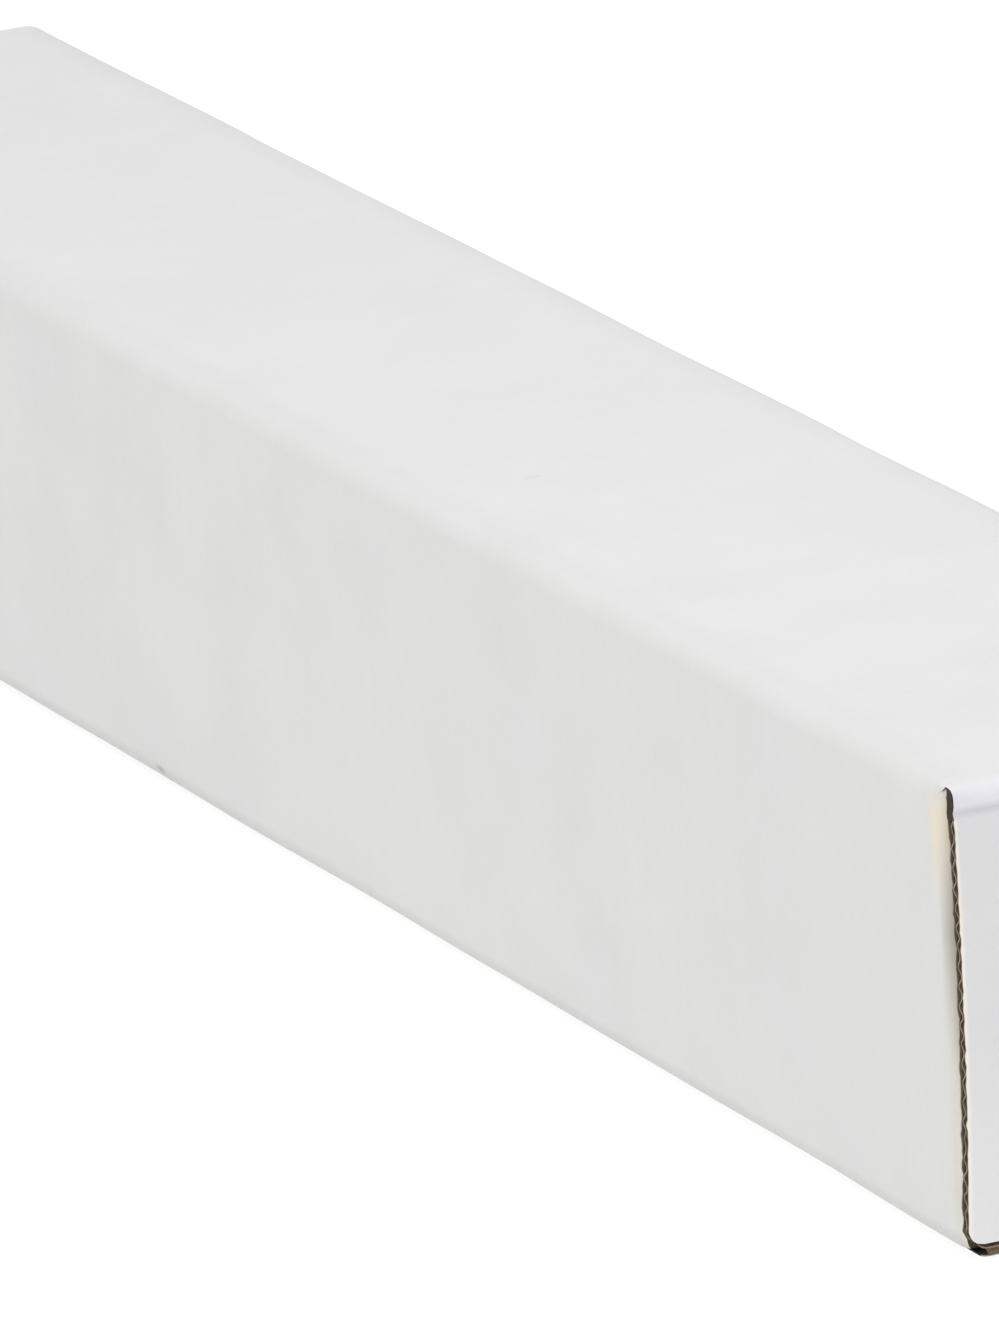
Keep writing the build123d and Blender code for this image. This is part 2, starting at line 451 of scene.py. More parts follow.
def add_noise(tree, vector, scale, detail=3.0, roughness=0.5):
    """A noise value of a given scale."""
    texture = tree.nodes.new("ShaderNodeTexNoise")
    texture.inputs["Scale"].default_value = scale
    texture.inputs["Detail"].default_value = detail
    texture.inputs["Roughness"].default_value = roughness
    tree.links.new(vector, texture.inputs["Vector"])
    return texture.outputs["Fac"]


def add_mapping(tree, vector, scale):
    """A vector stretched along its axes."""
    mapping = tree.nodes.new("ShaderNodeMapping")
    mapping.inputs["Scale"].default_value = scale
    tree.links.new(vector, mapping.inputs["Vector"])
    return mapping.outputs["Vector"]


def add_range(tree, value, low, high, from_low=0.3, from_high=0.7):
    """A value brought from one range to another."""
    span = tree.nodes.new("ShaderNodeMapRange")
    span.inputs["From Min"].default_value = from_low
    span.inputs["From Max"].default_value = from_high
    span.inputs["To Min"].default_value = low
    span.inputs["To Max"].default_value = high
    tree.links.new(value, span.inputs["Value"])
    return span.outputs["Result"]


def add_math(tree, operation, first, second=0):
    """Two values put together, or the first alone for an operation on one."""
    node = tree.nodes.new("ShaderNodeMath")
    node.operation = operation
    for socket, value in zip(node.inputs, (first, second)):
        if isinstance(value, (int, float)):
            socket.default_value = value
        else:
            tree.links.new(value, socket)
    return node.outputs["Value"]


def add_nearness(tree, place, axis, middle, reach):
    """How near a place is to two planes across an axis: 1 on either plane, 0 from the reach on."""
    parts = tree.nodes.new("ShaderNodeSeparateXYZ")
    tree.links.new(place, parts.inputs[0])
    side = add_math(tree, "ABSOLUTE", parts.outputs[axis])
    away = add_math(tree, "ABSOLUTE", add_math(tree, "SUBTRACT", side, middle))
    return add_range(tree, away, 1, 0, 0, reach)


def add_spot(tree, place, middle, reach):
    """How near a place is to a spot: 1 at its middle, 0 from its reach along each axis on."""
    moved = tree.nodes.new("ShaderNodeVectorMath")
    moved.operation = "SUBTRACT"
    moved.inputs[1].default_value = middle
    tree.links.new(place, moved.inputs[0])
    length = tree.nodes.new("ShaderNodeVectorMath")
    length.operation = "LENGTH"
    parts = add_mapping(tree, moved.outputs["Vector"], [1 / part for part in reach])
    tree.links.new(parts, length.inputs[0])
    return add_range(tree, length.outputs["Value"], 1, 0, 0, 1)


def add_product(tree, first, second):
    """Two values multiplied."""
    return add_math(tree, "MULTIPLY", first, second)


def add_blend(tree, factor, first, second):
    """A colour between two colours, the first of them a colour or a socket."""
    blend = tree.nodes.new("ShaderNodeMix")
    blend.data_type = "RGBA"
    tree.links.new(factor, blend.inputs["Factor"])
    ends = [socket for socket in blend.inputs if socket.type == "RGBA"]
    if isinstance(first, tuple):
        ends[0].default_value = first
    else:
        tree.links.new(first, ends[0])
    ends[1].default_value = second
    return next(socket for socket in blend.outputs if socket.type == "RGBA")


def tint(tree, shader, colour, shade):
    """The shader's colour, given or from a socket, multiplied by a shade value."""
    scaled = tree.nodes.new("ShaderNodeVectorMath")
    scaled.operation = "SCALE"
    if isinstance(colour, bpy.types.NodeSocket):
        tree.links.new(colour, scaled.inputs[0])
    else:
        scaled.inputs[0].default_value = colour
    tree.links.new(shade, scaled.inputs["Scale"])
    tree.links.new(scaled.outputs["Vector"], shader.inputs["Base Color"])


def bump(tree, shader, height, depth):
    """Bump of a given depth from a height value."""
    node = tree.nodes.new("ShaderNodeBump")
    node.inputs["Distance"].default_value = depth
    tree.links.new(height, node.inputs["Height"])
    tree.links.new(node.outputs["Normal"], shader.inputs["Normal"])


def wall_marks_and_painted_light(tree, place):
    """The walls' paper: mottled sides, painted shade along the long folds at the foot and top, and ends
    that turn cream, brown and pale downwards: painted reflected light, shade and light.
    """
    _, tube, _ = sizes()
    white = (*bpy.context.scene.finishes.white, 1)
    patches = add_noise(tree, place, scale=28, detail=2)
    mottled = add_range(tree, patches, 0, 1, from_low=0.35, from_high=0.65)
    at_top = add_nearness(tree, place, Z, tube.height, tube.fold_radius)
    at_fold = add_nearness(tree, place, Y, tube.half_width, 2 * tube.fold_radius)
    at_end = add_nearness(tree, place, X, tube.wall_end + 0.7 * tube.fold_radius, END_REACH)
    turning = add_product(tree, at_end, at_fold)
    colour = add_blend(tree, at_top, add_blend(tree, mottled, SIDE_COOL, SIDE_WARM), white)

    # Cream, wide beside the hinge and thin all along the turn: painted reflected light from the brown edges
    near_top = add_nearness(tree, place, Z, tube.height, 0.3 * tube.height)
    high_up = add_range(tree, near_top, 0, 1, from_low=0.05, from_high=0.6)
    on_side = add_product(tree, high_up, add_range(tree, at_top, 1, 0, from_low=0, from_high=0.9))
    near_end = add_nearness(tree, place, X, tube.wall_end + 0.4 * tube.fold_radius, WIDE_END_REACH)
    wide_cream = add_product(tree, add_range(tree, near_end, 0, 1, from_low=0, from_high=0.5), on_side)
    thin_share = 0.45
    cream = add_math(tree, "MAXIMUM", wide_cream, add_product(tree, turning, thin_share))
    colour = add_blend(tree, cream, colour, END_CREAM)

    # Pale where the lower half bends in, a painted light, and brown at the middle, a painted shade in the
    # gap beside the flap
    near_foot = add_nearness(tree, place, Z, 0, 0.5 * tube.height)
    low_down = add_range(tree, near_foot, 0, 1, from_low=0.05, from_high=0.5)
    bend = add_nearness(tree, place, X, tube.wall_end + tube.fold_radius, END_REACH)
    bent_low = add_product(tree, add_range(tree, bend, 0, 1, from_low=0, from_high=0.6), low_down)
    colour = add_blend(tree, bent_low, colour, END_PALE)
    at_middle = add_nearness(tree, place, Z, 0.68 * tube.height, 0.28 * tube.height)
    colour = add_blend(tree, add_product(tree, turning, at_middle), colour, END_BROWN)

    # Painted shade along the long folds at the foot and at the top, and darker at the two marks
    foot_shade, top_shade = 0.7, 0.95
    at_foot = add_product(tree, at_fold, add_nearness(tree, place, Z, 0, tube.fold_radius))
    painted_foot_shade = add_range(tree, at_foot, 1, foot_shade, from_low=0, from_high=1)
    painted_top_fold_shade = add_range(tree, add_product(tree, at_fold, at_top), 1, top_shade, from_low=0, from_high=1)
    shade = add_product(tree, painted_foot_shade, painted_top_fold_shade)
    for middle, reach, darkest in (TOP_MARK, FOOT_NICK):
        spot = add_spot(tree, place, middle, reach)
        marked = add_range(tree, spot, 1, darkest, from_low=0, from_high=0.6)
        shade = add_product(tree, shade, marked)
    return colour, shade


def hinge_tint_and_painted_light(tree, place):
    """The hinges' paper: a painted highlight over the turn and a little painted shade along the crushed
    crease.
    """
    _, tube, flap = sizes()
    white = (*bpy.context.scene.finishes.white, 1)
    crease = tube.height - flap.hinge_radius - flap.crease_width / 2
    at_crease = add_nearness(tree, place, Z, crease, 0.6 * flap.crease_width)
    at_turn = add_nearness(tree, place, X, flap.face, flap.hinge_radius)
    at_low = add_nearness(tree, place, Z, crease - flap.crease_width / 2, flap.crease_width)
    # A painted highlight over the turn, and the flap head's tint at the foot
    colour = add_blend(tree, at_turn, white, HINGE_TURN)
    # A painted shade along the crease
    crease_shade = 0.85
    shade = add_range(tree, at_crease, 1, crease_shade, from_low=0, from_high=1)
    return add_blend(tree, at_low, colour, HINGE_LOW), shade


def flap_tint_and_painted_light(tree, place):
    """The flaps' paper: painted light at the foot, painted shade at the head and a painted highlight along
    the cut edges, with an even shade.
    """
    _, tube, flap = sizes()
    at_foot = add_nearness(tree, place, Z, 0, 0.5 * tube.height)
    at_head = add_nearness(tree, place, Z, tube.height, 0.25 * tube.height)
    at_cut = add_nearness(tree, place, Y, flap.half_width, EDGE_HIGHLIGHT_REACH)
    # Painted light at the foot, painted shade at the head, and a painted highlight along the cut edges
    colour = add_blend(tree, at_foot, FLAP_MIDDLE, FLAP_FOOT)
    colour = add_blend(tree, at_head, colour, FLAP_HEAD)
    return add_blend(tree, at_cut, colour, FLAP_EDGE_HIGHLIGHT), 1


def white_paper(name, along, paint_light_and_tint):
    """White outer paper: cloudy, fine-fibred, with the faint ribs of the flutes under it."""
    material, tree, shader, place = new_material(name)
    cloudy, fibrous, streaky = (0.985, 1.012), (0.985, 1.01), (0.997, 1.003)
    clouds = add_range(tree, add_noise(tree, place, scale=45), *cloudy)
    fibres = add_range(tree, add_noise(tree, place, scale=900, detail=4, roughness=0.7), *fibrous)
    fine, long = 420.0, 7.0
    stretch = [fine if axis == along else long for axis in range(3)]
    streaks = add_noise(tree, add_mapping(tree, place, stretch), scale=1, detail=2)
    shade = add_product(tree, add_product(tree, clouds, fibres), add_range(tree, streaks, *streaky))
    # Tint, marks and painted light and shade from the given function
    colour, marks_and_painted_shade = paint_light_and_tint(tree, place)
    tint(tree, shader, colour, add_product(tree, shade, marks_and_painted_shade))

    # Bump of the ribs, the paper's own waves and its grain
    ribs = tree.nodes.new("ShaderNodeTexWave")
    ribs.bands_direction = "XYZ"[along]
    pitch = bpy.context.scene.board_sizes.pitch
    ribs.inputs["Scale"].default_value = 2 * math.pi / (WAVE_TEXTURE_RATE * pitch)
    ribs.inputs["Distortion"].default_value = 0.0
    tree.links.new(place, ribs.inputs["Vector"])
    rib_share, grain_share, relief = 0.03, 0.06, 0.12 * MM
    waves = add_noise(tree, place, scale=120, detail=2)
    height = add_math(tree, "ADD", add_product(tree, ribs.outputs["Fac"], rib_share), waves)
    grain = add_product(tree, add_noise(tree, place, scale=2500, detail=3, roughness=0.6), grain_share)
    bump(tree, shader, add_math(tree, "ADD", height, grain), relief)
    shader.inputs["Roughness"].default_value = 0.62
    shader.inputs["Specular IOR Level"].default_value = 0.35
    return material


def brown_paper(name, colour, flecks=0.2):
    """Brown kraft paper with long fibres and flecks."""
    material, tree, shader, place = new_material(name)
    cloudy = (0.88, 1.1)
    clouds = add_range(tree, add_noise(tree, place, scale=60), *cloudy)
    stretch = (500, 1400, 1400)
    fibres = add_noise(tree, add_mapping(tree, place, stretch), scale=1, detail=4, roughness=0.7)
    spots = add_range(tree, fibres, 1 - flecks, 1 + flecks)
    tint(tree, shader, colour, add_product(tree, clouds, spots))
    relief = 0.05 * MM
    bump(tree, shader, fibres, relief)
    shader.inputs["Roughness"].default_value = 0.85
    shader.inputs["Specular IOR Level"].default_value = 0.2
    return material


def floor_finish():
    """A white sweep that is a little bright of itself, as over a lit table."""
    material, tree, shader, place = new_material("studio_white")
    cloudy = (0.995, 1)
    shade = add_range(tree, add_noise(tree, place, scale=3), *cloudy)
    tint(tree, shader, FLOOR_GREY, shade)
    shader.inputs["Roughness"].default_value = 0.9
    shader.inputs["Specular IOR Level"].default_value = 0.1
    shader.inputs["Emission Color"].default_value = (1, 1, 1, 1)
    shader.inputs["Emission Strength"].default_value = FLOOR_GLOW
    return material


def finish_named(name):
    """One of the tube's finishes, made the first time it is asked for."""
    made = bpy.data.materials.get(name)
    if made:
        return made
    white_papers = {
        "white_wall_paper": (X, wall_marks_and_painted_light),
        "white_hinge_paper": (X, hinge_tint_and_painted_light),
        "white_flap_paper": (Z, flap_tint_and_painted_light),
    }
    colours = bpy.context.scene.finishes
    if name in white_papers:
        return white_paper(name, *white_papers[name])
    if name == "kraft_lining":
        return brown_paper(name, colours.kraft, flecks=0.12)
    if name == "kraft_flutes":
        return brown_paper(name, colours.fluting)

    # The colours of the raw edges have the names of their finishes
    return brown_paper(name, getattr(colours, name))


# Flutes


def flute_amplitude():
    """How far the medium's middle swings to each side between the two papers."""
    board, _, _ = sizes()
    return board.thickness / 2 - board.paper - board.medium / 2


def flute_sheet(name, ends, direction, count, amplitude, normal):
    """A fluted sheet: a row carried on in small steps, with its rows moved to a wave along the normal."""
    board, _, _ = sizes()
    piece = new_row(name, ends)
    step = Vector(direction).normalized() * board.pitch / board.wave_rows
    rows = count * board.wave_rows
    bpy.ops.object.mode_set(mode="EDIT")
    bpy.ops.mesh.select_all(action="SELECT")
    for _ in range(rows):
        extrude(step)
    shape = bmesh.from_edit_mesh(piece.data)
    start = Vector(ends[0])
    unit = step.normalized()
    for turn in range(board.wave_rows):
        height = amplitude * math.cos(2 * math.pi * turn / board.wave_rows)
        bpy.ops.mesh.select_all(action="DESELECT")
        bpy.ops.mesh.select_mode(type="VERT")
        for vertex in shape.verts:
            row = round((vertex.co - start).dot(unit) / step.length)
            if row % board.wave_rows == turn:
                vertex.select_set(True)
        bmesh.update_edit_mesh(piece.data)
        bpy.ops.transform.translate(value=Vector(normal) * height)
        shape = bmesh.from_edit_mesh(piece.data)
    bpy.ops.object.mode_set(mode="OBJECT")
    return piece


# Operators


class TUBE_OT_sleeve(bpy.types.Operator):
    """Fold the walls, the glued lap and the dust flaps from one sheet"""

    bl_idname = "tube.sleeve"
    bl_label = "Sleeve and dust flaps"

    def execute(self, context):
        board, tube, _ = sizes()
        end, half, height, radius = tube.wall_end, tube.half_width, tube.height, tube.fold_radius
        lap_face = half - board.thickness
        sheet = new_row("sleeve_sheet", ((-end, half, tube.seam_height), (end, half, tube.seam_height)))
        bpy.ops.object.mode_set(mode="EDIT")
        bpy.ops.mesh.select_all(action="SELECT")
        for move in (
            (0, 0, height - tube.seam_height),
            (0, -2 * half, 0),
            (0, 0, -height),
            (0, half + lap_face, 0),
            (0, 0, tube.lap_height),
        ):
            extrude(move)

        # Lap's end tapers, then the four long folds are rounded
        bpy.ops.transform.resize(value=((end - tube.lap_taper) / end, 1, 1), center_override=(0, 0, 0))
        corners = ((half, height), (-half, height), (-half, 0), (lap_face, 0))
        for corner in corners:
            pick(
                sheet,
                "EDGE",
                lambda spot: math.hypot(spot.y - corner[0], spot.z - corner[1]) < TINY,
                add=corner is not corners[0],
            )
        bpy.ops.mesh.bevel(offset=radius, segments=tube.fold_steps, affect="EDGES", profile=0.5)

        # Rows and columns that let the walls wave
        pick_edges_along(sheet, X)
        bpy.ops.mesh.subdivide(number_cuts=WALL_COLUMNS)
        for axis in (Y, Z):
            pick_edges_along(sheet, axis, shortest=SHORTEST_WALL)
            bpy.ops.mesh.subdivide(number_cuts=WALL_ROWS)
        self.add_dust_flaps(sheet)
        self.add_sills(sheet)
        merge(sheet)
        bpy.ops.object.mode_set(mode="OBJECT")
        face_out(sheet, (0, 0, height), (0, 0, 1))
        self.wave(sheet)

        lining = copy_piece(sheet, "sleeve_lining")
        sink(lining, board.thickness - board.paper)
        thicken(lining, board.paper, "kraft_flutes", "kraft_lining", "cut_edge")
        carry(lining, "body")
        sheet.name = sheet.data.name = "sleeve_paper"
        self.square_corners(sheet)
        # The paper's raw edges, and the turned-in feet, are near-black: painted shade
        thicken(sheet, board.paper, "white_wall_paper", "kraft_flutes", "painted_shade_edge")
        self.cut_feet(sheet)
        carry(sheet, "body", "tube_body")
        return {"FINISHED"}

    def add_dust_flaps(self, sheet):
        """Turn the side walls' ends in by a spin, then run the dust flaps on to their round corners."""
        _, tube, _ = sizes()
        middle = tube.height / 2
        flat = tube.half_width - tube.fold_radius
        inner_half = middle - tube.dust_slot - tube.dust_relief
        ends = (inner_half, inner_half - tube.dust_slope)
        for end in (1, -1):
            for side in (1, -1):
                # The long folds turn in, but for their part in the top and bottom walls, and not the lap
                lap_top = tube.lap_height + LAP_CLEARANCE if side > 0 else 0
                pick(
                    sheet,
                    "EDGE",
                    lambda spot: abs(spot.x - end * tube.wall_end) < NEAR
                    and side * spot.y > flat + FOLD_KEPT
                    and (spot.z > lap_top or abs(spot.y) > tube.half_width - LAP_CLEARANCE),
                )
                turn = -math.pi / 2 * side * end
                spin((end * tube.wall_end, side * flat, 0), (0, 0, 1), turn, TURN_STEPS)

                # The flap goes on from the flat of the fold
                face = end * (tube.wall_end + tube.fold_radius)
                first_half = middle - (tube.seam_height if side > 0 else tube.fold_radius)
                pick(
                    sheet,
                    "EDGE",
                    lambda spot: abs(spot.y - side * flat) < TINY
                    and end * spot.x > end * face - DUST_FACE_REACH
                    and abs(spot.z - middle) < first_half + TINY,
                )
                run = tube.dust_length - tube.fold_radius
                half = first_half
                for move, next_half in zip((DUST_NECK, run - DUST_NECK), ends):
                    extrude((0, -side * move, 0))
                    narrowed = next_half / half
                    bpy.ops.transform.resize(value=(0, 1, narrowed), center_override=(face, 0, middle))
                    half = next_half
                last = side * (tube.half_width - tube.dust_length)
                pick(
                    sheet,
                    "VERT",
                    lambda spot: abs(spot.y - last) < TINY
                    and end * spot.x > tube.wall_end
                    and abs(abs(spot.z - middle) - half) < DUST_CORNER_REACH,
                )
                cut = tube.dust_corner * DUST_CORNER_CUT
                bpy.ops.mesh.bevel(offset=cut, segments=DUST_CORNER_STEPS, affect="VERTICES", profile=0.5)

    def add_sills(self, sheet):
        """Run the bottom wall on past the folds to its raw ends."""
        board, tube, _ = sizes()
        for end in (1, -1):
            pick(
                sheet,
                "EDGE",
                lambda spot: abs(spot.x - end * tube.wall_end) < NEAR
                and spot.z < board.thickness / 2
                and abs(spot.y) < tube.half_width - SILL_INSET,
            )
            extrude((end * tube.sill_length, 0, 0))

    def wave(self, sheet):
        """Let the walls stray a little from flat, less and less towards the folds at the ends."""
        board, tube, _ = sizes()
        group = sheet.vertex_groups.new(name="walls")
        for vertex in sheet.data.vertices:
            reach = (tube.wall_end - abs(vertex.co.x)) / CALM_RUN
            if reach > 0:
                group.add([vertex.index], min(reach, 1.0), "REPLACE")
        clouds = bpy.data.textures.new("board_waves", "CLOUDS")
        clouds.noise_scale = WAVE_LENGTH
        clouds.noise_depth = 1
        displace = sheet.modifiers.new("Waves", "DISPLACE")
        displace.texture = clouds
        displace.texture_coords = "LOCAL"
        displace.vertex_group = group.name
        displace.mid_level = WAVE_LEVEL
        displace.strength = 2 * board.waviness
        select_only(sheet)
        bpy.ops.object.modifier_apply(modifier=displace.name)

        # The bottom wall doesn't reach under the ground
        for vertex in sheet.data.vertices:
            vertex.co.z = max(vertex.co.z, 0)

    def square_corners(self, sheet):
        """Draw the front wall's top corners out to nearly square ones beside the hinges."""
        _, tube, _ = sizes()
        flat = tube.half_width - tube.fold_radius
        level = tube.height - tube.fold_radius
        for vertex in sheet.data.vertices:
            spot = vertex.co
            past = max(abs(spot.x) - tube.wall_end, 0)
            beyond = -spot.y - flat
            rise = spot.z - level
            out = math.hypot(past, beyond)
            if beyond < -TINY or rise <= 0 or out < TINY:
                continue
            side, up = squared(math.atan2(out, rise), fold_power(spot.x))
            spot.z = level + tube.fold_radius * up
            spot.y = -flat - beyond * tube.fold_radius * side / out
            if past > 0:
                wider = tube.fold_radius * side
                along, beyond = squared(math.atan2(past, beyond), CIRCLE + END_CORNER_GAIN * up)
                spot.x = math.copysign(tube.wall_end + wider * along, spot.x)
                spot.y = -flat - wider * beyond

    def cut_feet(self, sheet):
        """Finish the end folds' turned-in halves as raw cuts at their feet, near-black as painted shade
        under the flap, and the sills' ends paler.
        """
        _, tube, _ = sizes()
        flat = tube.half_width - tube.fold_radius
        raw, pale = 2, 3
        sheet.data.materials.append(finish_named("lining_edge"))
        for face in sheet.data.polygons:
            past = abs(face.center.x) - tube.wall_end
            beyond = abs(face.center.y) - flat
            if past > beyond > 0 and RAW_START < face.center.z < tube.raw_height:
                face.material_index = raw
            elif face.material_index == raw and past > tube.sill_length - NEAR:
                face.material_index = pale


class TUBE_OT_hinges(bpy.types.Operator):
    """Fold the board over from the top wall to each main flap"""

    bl_idname = "tube.hinges"
    bl_label = "Hinge folds"

    def execute(self, context):
        board, tube, flap = sizes()
        centre = self.fold_facts()[0]
        strip = self.fold_over()
        self.fade_folds(strip)
        face_out(strip, (tube.wall_end, 0, tube.height), (0, 0, 1))
        # The hinge's raw edges are near-black: painted shade of the slit beside the flap
        materials = ("white_hinge_paper", "kraft_lining", "painted_shade_edge")
        thicken(strip, board.thickness, *materials, group="thickness")
        self.slope_edges(strip)

        # Over the walls its edges are as white as their paper
        white, raw = 0, 2
        for face in strip.data.polygons:
            if face.material_index == raw and face.center.x < centre.x:
                face.material_index = white
        twin = mirror_to_far_end(strip, "far_fold")
        for piece, body, side in ((strip, "near_end", 1), (twin, "far_end", -1)):
            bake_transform(piece)
        return {"FINISHED"}

    def fold_facts(self):
        """The hinge's centre, half the width of the flat top, and the reach past it down the long folds."""
        _, tube, flap = sizes()
        centre = Vector((flap.face - flap.hinge_radius, 0, tube.height - flap.hinge_radius))
        flat = tube.half_width - tube.fold_radius
        return centre, flat, tube.half_width - flap.hinge_inset - flat

    def fold_over(self):
        """The sheet: across the top and down the long folds, along over the hinge, and the crease."""
        _, tube, flap = sizes()
        centre, flat, reach = self.fold_facts()
        end, height = tube.wall_end, tube.height
        strip = new_row("near_fold", ((end, -flat, height), (end, flat, height)))
        bpy.ops.object.mode_set(mode="EDIT")
        bpy.ops.mesh.select_all(action="SELECT")
        bpy.ops.mesh.subdivide(number_cuts=HINGE_COLUMNS)
        step = math.pi / 2 / tube.fold_steps
        last = math.asin(reach / tube.fold_radius)
        turns = [step * count for count in range(1, int(last / step) + 1)] + [last]
        for side in (1, -1):
            pick(strip, "VERT", lambda spot: side * spot.y > flat - TINY)
            for turned in turns:
                spot = (
                    end,
                    side * (flat + tube.fold_radius * math.sin(turned)),
                    height - tube.fold_radius * (1 - math.cos(turned)),
                )
                shape = bmesh.from_edit_mesh(strip.data)
                here = next(vertex.co.copy() for vertex in shape.verts if vertex.select)
                extrude(Vector(spot) - here)
        bpy.ops.mesh.select_all(action="SELECT")
        for _ in range(HINGE_ROWS):
            extrude(((centre.x - end) / HINGE_ROWS, 0, 0))
        spin(centre, (0, 1, 0), math.pi / 2, HINGE_STEPS)
        half_crease = flap.crease_width / 2
        extrude((-flap.crease_depth, 0, -half_crease))
        extrude((flap.crease_depth, 0, -half_crease))
        merge(strip)
        bpy.ops.object.mode_set(mode="OBJECT")
        return strip

    def fade_folds(self, strip):
        """Fade the long folds' rounding out with the hinge's turn, from a squarer corner at the front."""
        _, tube, flap = sizes()
        centre, flat, reach = self.fold_facts()
        step = math.pi / 2 / tube.fold_steps
        last = math.asin(reach / tube.fold_radius)
        last_whole = last // step * step
        thickness = strip.vertex_groups.new(name="thickness")
        for vertex in strip.data.vertices:
            beyond = max(abs(vertex.co.y) - flat, 0)
            drop = tube.fold_radius - math.sqrt(tube.fold_radius**2 - beyond**2)
            angle = math.atan2(max(vertex.co.x - centre.x, 0), max(vertex.co.z - centre.z, TINY / 10))
            turned = angle / (math.pi / 2)
            kept = drop * (1 - turned)
            grown = turned
            if vertex.co.y < -flat:
                grown = min(turned * THICKNESS_GAIN, 1)
                wrapped = math.asin(beyond / tube.fold_radius)
                part = max(wrapped - last_whole, 0) / (last - last_whole)
                wrapped += part * (last_whole + 2 * step - last) * (1 - turned)
                side, up = squared(wrapped, fold_power(vertex.co.x))
                kept = tube.fold_radius * (1 - up) * (1 - min(turned * SQUARE_FADE, 1))
                vertex.co.y -= (tube.fold_radius * side - beyond - LIP_GAP * part) * (1 - turned)
            vertex.co += Vector((math.sin(angle), 0, math.cos(angle))) * (drop - kept)
            thinned = beyond / reach * (1 - max(grown, flap.thinnest))
            thickness.add([vertex.index], 1 - thinned, "REPLACE")

    def slope_edges(self, strip):
        """Slope the board's free edges out inside, and turn the front one tighter."""
        board, _, flap = sizes()
        centre, flat, reach = self.fold_facts()
        for vertex in strip.data.vertices:
            out = vertex.co - centre
            part = min(max(abs(vertex.co.y) - flat, 0) / reach, 1)
            if part == 0 or out.x <= 0:
                continue
            angle = math.atan2(out.x, max(out.z, 0))
            away = math.hypot(out.x, max(out.z, 0))
            turned = angle / (math.pi / 2)
            slope = flap.cut_slope * part * turned * (flap.hinge_radius - away) / board.thickness
            if vertex.co.y < 0 and out.z > 0:
                side, up = squared(angle, CIRCLE + HINGE_CORNER_GAIN * part)
                vertex.co.x = centre.x + away * side
                vertex.co.z = centre.z + away * up
            vertex.co.y += math.copysign(slope, vertex.co.y)
            if out.z < 0 and away < flap.hinge_radius - board.thickness / 2:
                vertex.co.x = flap.face - board.thickness


